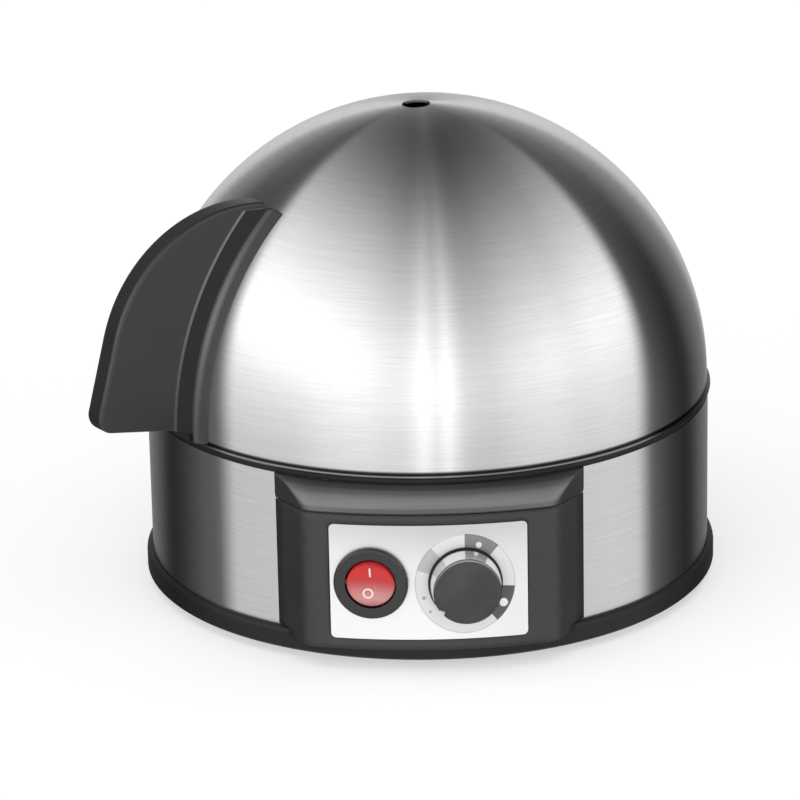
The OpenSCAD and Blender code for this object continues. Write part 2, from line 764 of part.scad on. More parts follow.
// Dark knob: foot, core and cap in one, with the shaft's bore and room for the nut
module control_knob() color("#3f4042") out_of_front(knob_a) difference() {
    union() {
        translate([0, 0, knob_gap]) cylinder(r = knob_r, h = knob_foot_t);
        translate([0, 0, knob_gap]) cylinder(r = knob_core_r, h = knob_h - knob_gap - knob_edge);
        translate([0, 0, knob_h - knob_cap_t]) cylinder(r = knob_face_r, h = knob_cap_t - knob_edge);
        translate([0, 0, knob_h - knob_edge])
            cylinder(r1 = knob_face_r, r2 = knob_face_r - knob_edge, h = knob_edge);
    }
    translate([0, 0, knob_gap - cut]) cylinder(r = knob_hollow_r, h = knob_hollow_h + cut);
    cylinder(r = shaft_r + press, h = knob_h - knob_top_t + seat);
    pointer_notch();
}

// Bright sleeve between the knob's foot and its cap
module knob_sleeve() color("#d9dadb") out_of_front(knob_a) difference() {
    translate([0, 0, knob_gap + knob_foot_t + press])
        cylinder(r1 = knob_r - sleeve_inset, r2 = knob_face_r, h = sleeve_h);
    cylinder(r = knob_core_r + seat / 2, h = knob_h);
    pointer_notch();
}

// Cord inlet

module terminal_block() color("#e4e2da") translate([0, block_y, floor_z + seat]) difference() {
    translate([-block[0] / 2, -block[1] / 2, 0]) cube(block);
    for (x = pole_x) translate([x, 0, pole_z]) {
        rotate([90, 0, 0]) cylinder(r = pole_wire_r, h = 2 * block[1], center = true);
        for (y = [-pole_screw_y, pole_screw_y])
            translate([0, y, 0]) cylinder(r = pole_screw_r, h = block[2]);
    }
}

module cord_gland() color("#1a1a1b")
    translate([0, band_r + seat, inlet_z]) rotate([-90, 0, 0]) difference() {
        union() {
            cylinder(r1 = gland_flange_r, r2 = gland_flange_r - gland_bevel, h = gland_flange_t);
            translate([0, 0, -gland_in]) cylinder(r = gland_barrel_r, h = gland_in + cut);
        }
        translate([0, 0, -gland_in - cut]) cylinder(r = cord_r, h = gland_in + gland_flange_t + 2 * cut);
    }

module gland_nut() color("#232324") translate([0, gland_nut_y, inlet_z]) rotate([90, 0, 0]) difference() {
    cylinder(r = gland_nut_r, h = gland_nut_t, $fn = 6);
    translate([0, 0, -cut]) cylinder(r = gland_barrel_r + run_fit, h = gland_nut_t + 2 * cut);
}

// Lid

module dome_lid() color("#c4c6c8") difference() {
    translate([0, 0, dome_z]) rotate_extrude($fn = 180) difference() {
        union() {
            intersection() {
                circle(r = dome_r);
                square(dome_r + cut);
            }
            translate([0, -skirt_h]) square([dome_r, skirt_h]);
            translate([dome_r - dome_t, -skirt_h]) square([dome_t + lip_out - lip_t / 2, lip_t]);
            translate([dome_r + lip_out - lip_t / 2, lip_t / 2 - skirt_h]) circle(d = lip_t, $fn = 32);
        }
        circle(r = dome_r - dome_t);
        translate([-cut, -skirt_h - cut]) square([dome_r - dome_t + cut, skirt_h + cut]);
    }
    on_lid() {
        translate([vent_off, 0, dome_r / 2]) cylinder(d = vent_d, h = dome_r);
        handle_screw_places() cylinder(r = handle_screw_r + run_fit, h = handle_screw_l, center = true);
    }
}

// Each handle screw runs outwards from the inner face of the dome
module handle_screw_places() for (a = handle_screw_angles)
    rotate([0, 90 - a, 0]) translate([0, 0, handle_head_at]) children();

// Section of the saddle foot, square to the fin: a side that leans in and a land that slopes up to the root
module foot_section() difference() {
    intersection() {
        circle(r = dome_r + saddle_t);
        polygon([[0, -saddle_w / 2], [dome_r, -saddle_w / 2], [dome_r + side_h, -side_w],
            [root_base, -root_w], [root_base, root_w], [dome_r + side_h, side_w],
            [dome_r, saddle_w / 2], [0, saddle_w / 2]]);
    }
    circle(r = dome_r + seat);
}

// Section of the fin's root, which tapers on both sides from the foot up to the fin
module root_section() polygon([[dome_r + saddle_t / 2, -root_w], [root_base, -root_w],
    [root_base + root_h, -fin_t / 2], [root_base + root_h, fin_t / 2], [root_base, root_w],
    [dome_r + saddle_t / 2, root_w]]);

// A section swept up the dome from its rim
module up_the_dome() rotate([90, 0, 0]) rotate_extrude(angle = saddle_sweep, $fn = 180) children();

// What the bevel across the upper end of the foot takes away
module foot_end() rotate([0, -saddle_sweep, 0]) translate([dome_r + saddle_t - saddle_bevel, 0, 0])
    rotate([0, -45, 0]) translate([0, -saddle_w, -saddle_w]) cube(2 * saddle_w);

// Outline of the fin about the dome's centre: arched edge, straight tail, round corner, rising lower edge
module fin_outline(in) polygon(concat(
    arc([fin_x, fin_z], fin_arc_r - in, fin_start, fin_lean, 28),
    arc(fin_corner, fin_corner_r - in, fin_lean, fin_rise - 90, 8),
    [fin_corner + (fin_corner_r - in) * [sin(fin_rise), -cos(fin_rise)]
        - (fin_corner[0] - dome_r + fin_root) * [1, tan(fin_rise)]]));

// A slice of the fin, set in from its outline
module fin_slice(t, in) linear_extrude(t, center = true) fin_outline(in);

module lid_handle() color("#333335") on_lid() difference() {
    union() {
        difference() {
            union() {
                up_the_dome() foot_section();
                intersection() {
                    up_the_dome() root_section();
                    rotate([90, 0, 0]) fin_slice(2 * saddle_w, 0);
                }
            }
            foot_end();
        }
        translate([0, 0, -saddle_drop]) linear_extrude(saddle_drop) foot_section();
        difference() {
            rotate([90, 0, 0]) hull() {
                fin_slice(fin_t, fin_round);
                fin_slice(fin_t - 2 * fin_mid, fin_mid);
                fin_slice(fin_t - 2 * fin_round, 0);
            }
            sphere(r = dome_r + saddle_t / 2);
        }
    }
    handle_screw_places() cylinder(r = handle_screw_r + run_fit, h = handle_screw_l + cut);
}

module handle_screws() color("silver") on_lid() handle_screw_places()
    screw(handle_screw_r, handle_screw_l, handle_head_r, handle_head_h);

// Egg tray

// Loop that stands on the tray, with its lower part cut away
module tray_grip() translate([grip_x - grip_t / 2, 0, tray_z + tray_t])
    rotate([90, 0, 90]) linear_extrude(grip_t) difference() {
        translate([0, (grip_h - grip_root) / 2])
            rounded_rect(grip_w, grip_h + grip_root, grip_corner);
        translate([0, (grip_h - grip_root) / 2 - grip_bar])
            rounded_rect(grip_w - 2 * grip_bar, grip_h + grip_root, grip_corner - grip_t / 2);
        translate([-grip_w, -grip_h - grip_sink]) square([2 * grip_w, grip_h]);
    }

// A shape at every egg seat: one in the middle and a ring of six
module at_seats() {
    children();
    around(seat_circle_r, seat_angles) children();
}

module egg_tray() color("#e6e4df") {
    difference() {
        union() {
            translate([0, 0, tray_z]) cylinder(r = tray_r, h = tray_t);
            translate([0, 0, tray_z - collar_h])
                at_seats() cylinder(r = seat_r + collar_wall, h = collar_h + tray_t / 2);
        }
        at_seats() cylinder(r = seat_r, h = total_h);
        around(steam_circle_r, steam_angles) cylinder(r = steam_r, h = total_h);
    }
    for (a = [0, 180]) rotate([0, 0, a]) tray_grip();
}

rubber_feet();
bottom_cover();
cover_screws();
base_ring();
tie_screws();
body_band();
rim_ring();
pan_gasket();
heating_pan();
heat_plate();
heating_element();
pull_down_bar();
bar_screws();
stud_nuts();
thermal_cutout();
control_console();
console_hood();
console_screws();
face_plate();
switch_housing();
switch_terminals();
switch_lamp();
rocker_button();
control_body();
control_nut();
control_board();
control_shaft();
control_knob();
knob_sleeve();
terminal_block();
cord_gland();
gland_nut();
dome_lid();
lid_handle();
handle_screws();
egg_tray();
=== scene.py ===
# %% [markdown]
# An electric egg cooker. A steel dome lid with a black fin for a handle stands on a round body with
# a steel band, and a console on the front carries a red rocker switch and a rotary knob.
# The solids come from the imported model, in metres: the origin is on the table under the middle of
# the base, the front is -Y and up is +Z. Every form is in those solids, so this script adds no piece
# to them: it sets the camera and the light, and gives each solid its finish and its prints.

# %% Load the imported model
import bpy, bmesh, json, math
from mathutils import Matrix, Vector

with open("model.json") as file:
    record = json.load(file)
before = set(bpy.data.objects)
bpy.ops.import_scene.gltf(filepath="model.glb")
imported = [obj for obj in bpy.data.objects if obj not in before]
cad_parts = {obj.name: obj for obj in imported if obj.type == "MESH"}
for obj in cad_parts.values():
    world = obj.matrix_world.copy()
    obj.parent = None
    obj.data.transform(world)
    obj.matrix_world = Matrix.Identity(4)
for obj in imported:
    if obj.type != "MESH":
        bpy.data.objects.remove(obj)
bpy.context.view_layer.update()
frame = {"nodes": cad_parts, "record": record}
nodes = frame["nodes"]
scene = bpy.context.scene

# %% [markdown]
# The camera. A product photograph is taken with a long lens from some distance, so that round rims
# keep their shape. The lens and the place were found from the rims and the outline of the dome. A
# camera can be aimed with a Track To constraint, but here its axes are known, so they go straight into
# the matrix: right, up and backwards.

# %% Camera
LENS_MM, SENSOR_MM = 190.883, 36.0
CAMERA_AT = Vector((0.0, -1.29758, 0.50639))
PITCH, YAW, ROLL = 0.3345, -0.0069, -0.0203
NEAREST = 0.05

ahead = Vector((math.sin(YAW) * math.cos(PITCH), math.cos(YAW) * math.cos(PITCH), -math.sin(PITCH)))
level_right = Vector((math.cos(YAW), -math.sin(YAW), 0.0))
level_up = level_right.cross(ahead)
right = math.cos(ROLL) * level_right + math.sin(ROLL) * level_up
up = math.cos(ROLL) * level_up - math.sin(ROLL) * level_right
camera_data = bpy.data.cameras.new("photo_camera")
camera_data.lens = LENS_MM
camera_data.sensor_width = SENSOR_MM
camera_data.clip_start = NEAREST
camera = bpy.data.objects.new("photo_camera", camera_data)
camera.matrix_world = Matrix((right, up, -ahead)).transposed().to_4x4()
camera.matrix_world.translation = CAMERA_AT
scene.collection.objects.link(camera)
scene.camera = camera
scene.view_settings.view_transform = "Standard"
print("camera at", [round(v, 3) for v in CAMERA_AT], "lens", LENS_MM)

# %% [markdown]
# Small helpers for node trees. A material is a graph of nodes. It could be drawn by hand in the Shader
# Editor, but most graphs here repeat the same few steps: add a node, then set or link its inputs. A
# few short functions do that and keep the cells below readable.

# %% Node helpers
def give(tree, socket, value):
    """Link an input to another node's output, or set it to a plain value."""
    if isinstance(value, bpy.types.NodeSocket):
        tree.links.new(value, socket)
    else:
        socket.default_value = value


def add(tree, kind, **inputs):
    """A new node. Keyword inputs are given by name, with _ for a space."""
    node = tree.nodes.new(kind)
    for key, value in inputs.items():
        give(tree, node.inputs[key.replace("_", " ")], value)
    return node


def maths(tree, operation, a, b=0.0, c=0.0):
    """One Math node; a, b and c are numbers or sockets."""
    node = tree.nodes.new("ShaderNodeMath")
    node.operation = operation
    for socket, value in zip(node.inputs, (a, b, c)):
        give(tree, socket, value)
    return node.outputs[0]


def vector(tree, operation, a, b=(0.0, 0.0, 0.0)):
    """The outputs of one Vector Math node; a and b are vectors or sockets."""
    node = tree.nodes.new("ShaderNodeVectorMath")
    node.operation = operation
    for socket, value in zip(node.inputs, (a, b)):
        give(tree, socket, value)
    return node.outputs


def ramp(tree, factor, stops, interpolation="LINEAR"):
    """A Color Ramp with grey or coloured stops: (place, grey) or (place, (r, g, b))."""
    node = add(tree, "ShaderNodeValToRGB", Fac=factor)
    node.color_ramp.interpolation = interpolation
    elements = node.color_ramp.elements
    while len(elements) < len(stops):
        elements.new(0.5)
    for element, (place, shade) in zip(elements, stops):
        element.position = place
        element.color = (*shade, 1.0) if isinstance(shade, tuple) else (shade, shade, shade, 1.0)
    return node.outputs["Color"]


print("helpers:", [helper.__name__ for helper in (give, add, maths, vector, ramp)])

# %% [markdown]
# The studio. Brushed steel shows little of its own colour: what it shows is the room. The photographer
# put a wide soft light in front, kept the sides dark and let a little light come from behind. Area
# lamps could build that, but a world shader that depends on direction gives the same reflections with
# far less noise. A mirror turns a ray about its own normal, so the light is drawn over the normal that
# would send a ray from the lens into that part of the room: how far it faces to one side, and how far
# upwards. That normal lies half way between the direction and the way to the lens. The light stays
# fixed to the room, whatever is looked at later.

# %% Directions in the studio
AIMED_AT = Vector((0.0, 0.0, 0.08))
TO_LENS = (CAMERA_AT - AIMED_AT).normalized()

world = bpy.data.worlds.new("studio")
scene.world = world
world.use_nodes = True
wt = world.node_tree
wt.nodes.clear()
direction = add(wt, "ShaderNodeTexCoord").outputs["Generated"]
facing = vector(wt, "NORMALIZE", vector(wt, "ADD", direction, TO_LENS)[0])[0]
hx, hy, hz = add(wt, "ShaderNodeSeparateXYZ", Vector=facing).outputs
side = maths(wt, "DEGREES", maths(wt, "ARCTAN2", hx, maths(wt, "MULTIPLY", hy, -1.0)))
rise = maths(wt, "DEGREES", maths(wt, "ARCSINE", hz))
away = maths(wt, "ABSOLUTE", side)
print("way to the lens:", [round(v, 3) for v in TO_LENS])

# %% [markdown]
# The curves of the light. Each one is a list of pairs, an angle in degrees and an amount there. The
# amount is light or a share of it, and degrees in the two curves that bend others. A painted picture of
# the room could hold the same light, but curves need no file and can be changed one at a time. A Color
# Ramp runs from 0 to 1, so a curve is scaled to fit it.

# %% Curves over the side and the rise
SIDE_SPAN, RISE_LOW, RISE_SPAN = 90.0, -30.0, 120.0


def curve(value, stops, low, span, most):
    """A ramp over low to low + span, with amounts up to most."""
    place = maths(wt, "DIVIDE", maths(wt, "SUBTRACT", value, low), span)
    shades = [((at - low) / span, amount / most) for at, amount in stops]
    return maths(wt, "MULTIPLY", ramp(wt, place, shades), most)


def over_side(stops, most=1.0):
    """From the far left at -90 degrees to the far right at 90."""
    return curve(side, stops, -SIDE_SPAN, 2 * SIDE_SPAN, most)


def over_away(angle, stops):
    """From the middle at 0 degrees out to either side at 90."""
    return curve(angle, stops, 0.0, SIDE_SPAN, 1.0)


def over_rise(angle, stops, most=1.0):
    """From 30 degrees below the level to straight up at 90."""
    return curve(angle, stops, RISE_LOW, RISE_SPAN, most)


print("curves run to", SIDE_SPAN, "degrees at the sides and", RISE_LOW + RISE_SPAN, "upwards")

# %% [markdown]
# The wide light in front. It is a tall soft panel: bright at eye level, fading upwards, a little
# brighter to the left, and cut off at its two upright edges. Its edges lean in towards the table, its
# rise bends at the sides, and the low left corner is dimmer. One area lamp could stand there, but it
# would be even all over. A curve over the rise times a curve over the side gives a panel that is not.

# %% Light in front
FRONT_MIDDLE = 2.0
FRONT_EDGE = ((0, 1.0), (47.8, 1.0), (49.6, 0.5), (52, 0.0))
EDGE_PINCH = ((-30, 3.5), (0, 3.0), (10, 2.2), (24, 0.0), (90, 0.0))
RISE_SHIFT = ((-90, 12), (-55, 12), (-40, 10), (-24, 6), (-8, 2), (0, 0), (8, 0), (24, 2.5),
              (40, 7), (55, 11), (90, 11))
FRONT_RISE = ((-30, 0.45), (-12, 0.52), (-4, 0.62), (3, 0.72), (8, 0.78), (13, 1.04), (17, 1.04),
              (25, 0.75), (35, 0.50), (45, 0.29), (55, 0.10), (65, 0.04), (75, 0.03), (84, 0.13),
              (90, 0.17))
FRONT_SIDES = ((-55, 1.28), (-40, 1.30), (-30, 1.28), (-22, 1.24), (-15, 1.14), (-9, 1.0),
               (-5, 0.96), (-2.6, 1.08), (-1, 1.34), (0.6, 1.14), (1.7, 0.98), (2.8, 1.12),
               (4, 1.34), (5.6, 1.02), (8, 0.78), (13, 0.76), (20, 0.90), (27, 0.97), (33, 0.94),
               (40, 1.02), (48, 1.0), (55, 1.0))
LOW_LEFT = ((-90, 1.0), (-28, 1.0), (-12, 0.0), (90, 0.0))
LOW_LOSS = ((-30, 0.30), (0, 0.30), (8, 0.18), (15, 0.0), (90, 0.0))
MOST_SHIFT, MOST_PINCH, MOST_RISE, MOST_SIDES = 12.0, 3.5, 1.2, 1.5

shifted = maths(wt, "SUBTRACT", rise, over_side(RISE_SHIFT, MOST_SHIFT))
off_middle = maths(wt, "ABSOLUTE", maths(wt, "SUBTRACT", side, FRONT_MIDDLE))
pinched = maths(wt, "ADD", off_middle, over_rise(rise, EDGE_PINCH, MOST_PINCH))
edge = over_away(pinched, FRONT_EDGE)
front = maths(wt, "MULTIPLY", over_rise(shifted, FRONT_RISE, MOST_RISE),
              over_side(FRONT_SIDES, MOST_SIDES))
lost = maths(wt, "MULTIPLY", over_side(LOW_LEFT), over_rise(shifted, LOW_LOSS))
front = maths(wt, "MULTIPLY", front, maths(wt, "SUBTRACT", 1.0, lost))
print("light in front ends", FRONT_EDGE[-1][0], "degrees from its middle")

# %% [markdown]
# The dark sides. Outside the panel the room is dark, with a faint glow from behind that the steel
# catches at its outline. Black screens could be set up round the model, but the edge of the panel is
# already known, so a second set of curves takes over where it ends. Metal keeps part of the light, so
# the room is a little brighter than it looks in the steel.

# %% Dark sides and the whole room
STEEL_SHARE = 0.70
DARK_SIDES = ((0, 0.085), (52, 0.085), (56, 0.055), (60, 0.032), (64, 0.020), (67, 0.028),
              (70, 0.058), (73, 0.09), (77, 0.125), (80, 0.15), (83, 0.21), (86, 0.32), (90, 0.40))
DARK_RISE = ((-30, 0.0), (28, 0.0), (45, 0.035), (55, 0.065), (65, 0.10), (75, 0.12), (90, 0.13))
DARK_FROM = ((0, 0.0), (54, 0.0), (63, 1.0), (90, 1.0))

high = maths(wt, "MULTIPLY", over_rise(rise, DARK_RISE), over_away(away, DARK_FROM))
dark = maths(wt, "ADD", over_away(away, DARK_SIDES), high)
glow = maths(wt, "ADD", maths(wt, "MULTIPLY", front, edge),
             maths(wt, "MULTIPLY", dark, maths(wt, "SUBTRACT", 1.0, edge)))
background = add(wt, "ShaderNodeBackground", Color=glow, Strength=1.0 / STEEL_SHARE)
add(wt, "ShaderNodeOutputWorld", Surface=background.outputs[0])
print("world nodes:", len(wt.nodes))

# %% [markdown]
# The floor. A plain pale sheet that the cooker stands on. A curved backdrop would do as well, but from
# above one large plane fills the picture. The steel was lit with a dark room round it, so mirror-like
# surfaces look past the sheet into the studio.

# %% Floor
FLOOR_HALF = 6.0
floor_mesh = bpy.data.meshes.new("floor")
bm = bmesh.new()
bmesh.ops.create_grid(bm, x_segments=2, y_segments=2, size=FLOOR_HALF)
bm.to_mesh(floor_mesh)
bm.free()
floor = bpy.data.objects.new("floor", floor_mesh)
scene.collection.objects.link(floor)
floor.visible_glossy = False
print("floor:", 2 * FLOOR_HALF, "m wide")

# %% [markdown]
# The paper of the floor. A fine noise in its colour keeps it from looking like a flat fill. For a lens,
# a little over half of what the sheet shows is white of its own, so its shadow stays, but lighter. A
# brighter lamp would whiten the sheet too, but it would also wash out the black plastics.

# %% Colour of the floor
WHITE_SHARE = 0.55
PAPER_TONES = ((0.3, 0.925), (0.7, 0.935))
paper = bpy.data.materials.new("pale_sheet")
paper.use_nodes = True
pt = paper.node_tree
paper_shader = pt.nodes["Principled BSDF"]
place = add(pt, "ShaderNodeTexCoord").outputs["Object"]
grain = add(pt, "ShaderNodeTexNoise", Vector=place, Scale=60.0, Detail=3.0)
give(pt, paper_shader.inputs["Base Color"], ramp(pt, grain.outputs["Fac"], PAPER_TONES))
paper_shader.inputs["Roughness"].default_value = 0.9
paper_shader.inputs["Specular IOR Level"].default_value = 0.1
looks = add(pt, "ShaderNodeLightPath").outputs
seen = maths(pt, "MAXIMUM", looks["Is Camera Ray"], looks["Is Glossy Ray"])
seen = maths(pt, "MAXIMUM", seen, looks["Is Transmission Ray"])
white = add(pt, "ShaderNodeEmission", Strength=1.0)
blend = add(pt, "ShaderNodeMixShader", Fac=maths(pt, "MULTIPLY", seen, WHITE_SHARE))
give(pt, blend.inputs[1], paper_shader.outputs[0])
give(pt, blend.inputs[2], white.outputs[0])
give(pt, pt.nodes["Material Output"].inputs["Surface"], blend.outputs[0])
floor_mesh.materials.append(paper)
print("white of its own:", WHITE_SHARE)

# %% [markdown]
# One soft light overhead lifts the floor and the tops of the dark plastics to a plain level. A large
# area lamp could do it, but a sun with a wide angle lights the whole sheet evenly and gives its shadow
# a soft edge. Mirror-like surfaces do not see it: the steel has the studio alone to show.

# %% Overhead light
OVERHEAD_STRENGTH = 1.6
OVERHEAD_ANGLE = math.radians(80)
lamp_data = bpy.data.lights.new("overhead", "SUN")
lamp_data.energy = OVERHEAD_STRENGTH
lamp_data.angle = OVERHEAD_ANGLE
lamp = bpy.data.objects.new("overhead", lamp_data)
lamp.visible_glossy = False
scene.collection.objects.link(lamp)
print("overhead:", OVERHEAD_STRENGTH)

# %% [markdown]
# Finishes. Each slot of the record gets one material, and each CAD node takes the material of its
# slot. UV maps could place the patterns, but every solid would have to be unwrapped first. Object
# coordinates are the model's own metres, so a scratch or a grain keeps its true size and moves with its
# piece. The helpers below start a material, add relief and mix two colours.

# %% Start of a material
materials = {}


def finish(name):
    """A new material with its tree, its shader and its Object coordinates."""
    material = bpy.data.materials.new(name)
    material.use_nodes = True
    tree = material.node_tree
    materials[name] = material
    place = add(tree, "ShaderNodeTexCoord").outputs["Object"]
    return tree, tree.nodes["Principled BSDF"], place


def bump(tree, shader, height, strength, depth, normal=None):
    """Fine relief: strength is 0 to 1, depth the relief's real height in metres."""
    node = add(tree, "ShaderNodeBump", Strength=strength, Distance=depth, Height=height)
    if normal is not None:
        give(tree, node.inputs["Normal"], normal)
    give(tree, shader.inputs["Normal"], node.outputs["Normal"])


def two_tone(tree, share, first, second):
    """The first colour where share is 0, the second where it is 1."""
    node = tree.nodes.new("ShaderNodeMix")
    node.data_type = "RGBA"
    give(tree, node.inputs[0], share)
    # Inputs 6 and 7 and output 2 are the Mix node's colours
    for socket, colour in ((node.inputs[6], first), (node.inputs[7], second)):
        give(tree, socket, (*colour, 1.0) if isinstance(colour, tuple) else colour)
    return node.outputs[2]


print("finishes so far:", len(materials))

# %% [markdown]
# The lines of brushed steel. A lathe held abrasive against the turning sheet, so its fine lines run
# round the axis and light smears up and down across them. A texture of stretched noise gives the
# lines. It is measured by height and by the compass direction, not by angle, so that no seam shows.
# The smear itself is the anisotropy of the shader, whose tangent must point along the smear: up the
# meridian, which is square to the normal and to the direction round the axis.

# %% Lines round an axis
AXIS_GUARD = 1e-5
FINE_SHARE = 0.75


def reach(tree, u, v):
    """Length of the flat vector (u, v)."""
    squares = maths(tree, "ADD", maths(tree, "MULTIPLY", u, u), maths(tree, "MULTIPLY", v, v))
    return maths(tree, "SQRT", squares)


def weighted(tree, first, second, share):
    """The first pattern with this share, and the second with the rest."""
    return maths(tree, "ADD", maths(tree, "MULTIPLY", first, share),
                 maths(tree, "MULTIPLY", second, 1.0 - share))


def round_lines(tree, x, y, z, scale, by_height):
    """Noise drawn out round the axis, layered by height or by the angle of rise."""
    across = maths(tree, "MAXIMUM", reach(tree, x, y), AXIS_GUARD)
    layer = z if by_height else maths(tree, "ARCTAN2", z, across)
    spun = add(tree, "ShaderNodeCombineXYZ", X=maths(tree, "DIVIDE", x, across),
               Y=maths(tree, "DIVIDE", y, across), Z=maths(tree, "MULTIPLY", layer, scale)).outputs[0]
    fine = add(tree, "ShaderNodeTexNoise", Vector=spun, Scale=6.0, Detail=6.0, Roughness=0.7)
    wide = add(tree, "ShaderNodeTexNoise", Vector=spun, Scale=1.6, Detail=3.0)
    return weighted(tree, fine.outputs["Fac"], wide.outputs["Fac"], FINE_SHARE)


def up_meridian(tree, x, y):
    """The direction up the surface, square to the way round the axis."""
    turning = add(tree, "ShaderNodeCombineXYZ", X=maths(tree, "MULTIPLY", y, -1.0), Y=x).outputs[0]
    normal = add(tree, "ShaderNodeNewGeometry").outputs["Normal"]
    return vector(tree, "NORMALIZE", vector(tree, "CROSS_PRODUCT", normal, turning)[0])[0]


print("fine lines have a share of", FINE_SHARE)

# %% [markdown]
# Brushed steel of the dome and the band. Both are the same sheet and differ in their tone and in where
# their lines are measured from. At its foot the lid is rolled out into a lip. In the photograph the lip
# looks dull and the crease above it nearly black, from shade, so the lip's colour is painted darker and
# the crease is painted nearly black as shade. An ambient occlusion node could darken the crease, but it
# is level all round, so the height over the lip finds it with less noise.

# %% Brushed steel
DOME_CENTRE, BAND_CENTRE = (0.0, 0.0, 0.0648), (0.0, 0.0, 0.0)
LIP_Z, CREASE_SPAN = 0.0615, 0.004
CREASE_PAINTED_SHADE_STOPS = ((0.0, 0.30), (0.19, 0.30), (0.24, 0.10), (0.28, 0.07), (0.35, 0.07),
                (0.45, 0.55), (0.53, 1.0))
LINE_TONES = (0.925, 1.065)
STEEL_DULL, STEEL_BRIGHT = 0.222, 0.198
LINE_STRENGTH, LINE_DEPTH = 0.06, 1.5e-5


def brushed_round(name, colour, scale, axis_at, by_height, lip_z=None):
    """Steel brushed round an upright axis, with painted shade on the lip and the crease over it if there is
    one.
    """
    tree, shader, place = finish(name)
    x, y, z = add(tree, "ShaderNodeSeparateXYZ", Vector=vector(tree, "SUBTRACT", place, axis_at)[0]).outputs
    lines = round_lines(tree, x, y, z, scale, by_height)
    low, high = [tuple(c * factor for c in colour) for factor in LINE_TONES]
    brushed = ramp(tree, lines, ((0.35, low), (0.65, high)))
    # Painted shade: the lip is darkened and the crease above it painted nearly black.
    if lip_z is not None:
        own_z = add(tree, "ShaderNodeSeparateXYZ", Vector=place).outputs["Z"]
        level = maths(tree, "DIVIDE", maths(tree, "SUBTRACT", own_z, lip_z), CREASE_SPAN)
        brushed = two_tone(tree, ramp(tree, level, CREASE_PAINTED_SHADE_STOPS), (0.0, 0.0, 0.0), brushed)
    give(tree, shader.inputs["Base Color"], brushed)
    give(tree, shader.inputs["Roughness"], ramp(tree, lines, ((0.3, STEEL_DULL), (0.7, STEEL_BRIGHT))))
    shader.inputs["Metallic"].default_value = 1.0
    shader.inputs["Anisotropic"].default_value = 1.0
    give(tree, shader.inputs["Tangent"], up_meridian(tree, x, y))
    bump(tree, shader, lines, LINE_STRENGTH, LINE_DEPTH)


brushed_round("dome_steel", (0.74, 0.745, 0.75), 60.0, DOME_CENTRE, False, LIP_Z)
brushed_round("band_steel", (0.70, 0.705, 0.71), 750.0, BAND_CENTRE, True)
print("made:", list(materials))

# %% [markdown]
# Moulded plastic. The console, the two rings and the handle are moulded in charcoal plastic
# with a fine eroded grain, which takes the shine off. The grain could be real relief, but it is far
# smaller than a pixel. A noise at a fraction of a millimetre gives it, a slow one varies the gloss as
# handling does, and a small rounding in the normals lets sharp edges catch the light.

# %% Moulded plastics
SLOW_SCALE, SLOW_DETAIL = 38.0, 3.0
PLASTIC_TONES = (0.86, 1.14)
GLOSS_SPREAD, GRAIN_SHARE, GRAIN_STRENGTH = 0.05, 0.4, 0.35
CHARCOAL = (0.011, 0.011, 0.0115)
SHADED = (0.008, 0.008, 0.0083)


def round_edges(tree, radius):
    """A small rounding of sharp edges, in the normals alone."""
    return add(tree, "ShaderNodeBevel", Radius=radius).outputs["Normal"]


def moulded(name, colour, roughness, grain_scale=2600.0, grain_depth=2e-5, edge=0.0006, specular=0.5):
    """Plastic with a fine grain and a slow change of tone and gloss."""
    tree, shader, place = finish(name)
    fine = add(tree, "ShaderNodeTexNoise", Vector=place, Scale=grain_scale, Detail=2.0).outputs["Fac"]
    slow = add(tree, "ShaderNodeTexNoise", Vector=place, Scale=SLOW_SCALE, Detail=SLOW_DETAIL).outputs["Fac"]
    low, high = [tuple(c * factor for c in colour) for factor in PLASTIC_TONES]
    give(tree, shader.inputs["Base Color"], ramp(tree, slow, ((0.35, low), (0.65, high))))
    satin, dull = roughness - GLOSS_SPREAD, roughness + GLOSS_SPREAD
    gloss = ramp(tree, weighted(tree, fine, slow, GRAIN_SHARE), ((0.35, satin), (0.65, dull)))
    give(tree, shader.inputs["Roughness"], gloss)
    shader.inputs["Specular IOR Level"].default_value = specular
    bump(tree, shader, fine, GRAIN_STRENGTH, grain_depth, round_edges(tree, edge) if edge else None)
    return tree, shader, place


moulded("black_plastic", CHARCOAL, 0.46, specular=0.85)
moulded("console_plastic", CHARCOAL, 0.46, edge=0.0030, specular=0.85)
# Painted shade: the two rings take a darker charcoal for the shade they lie in.
moulded("ring_plastic_painted_shade", SHADED, 0.46, specular=0.35)
moulded("switch_black", (0.010, 0.010, 0.011), 0.28, edge=0.0004, specular=0.7)
moulded("rubber", (0.020, 0.020, 0.020), 0.72, 1500.0, 4e-5)
moulded("gasket_red", (0.20, 0.035, 0.025), 0.55, 1200.0, 3e-5, 0.0)
moulded("board_green", (0.020, 0.10, 0.035), 0.38, 900.0, 2e-5, 0.0)
moulded("control_case", (0.045, 0.065, 0.052), 0.45)
moulded("pale_plastic", (0.58, 0.55, 0.47), 0.45)
moulded("tray_plastic", (0.030, 0.030, 0.032), 0.46)
moulded("lamp_amber", (0.62, 0.20, 0.04), 0.18, 700.0, 1e-5, 0.0)
print("made:", len(materials), "finishes")
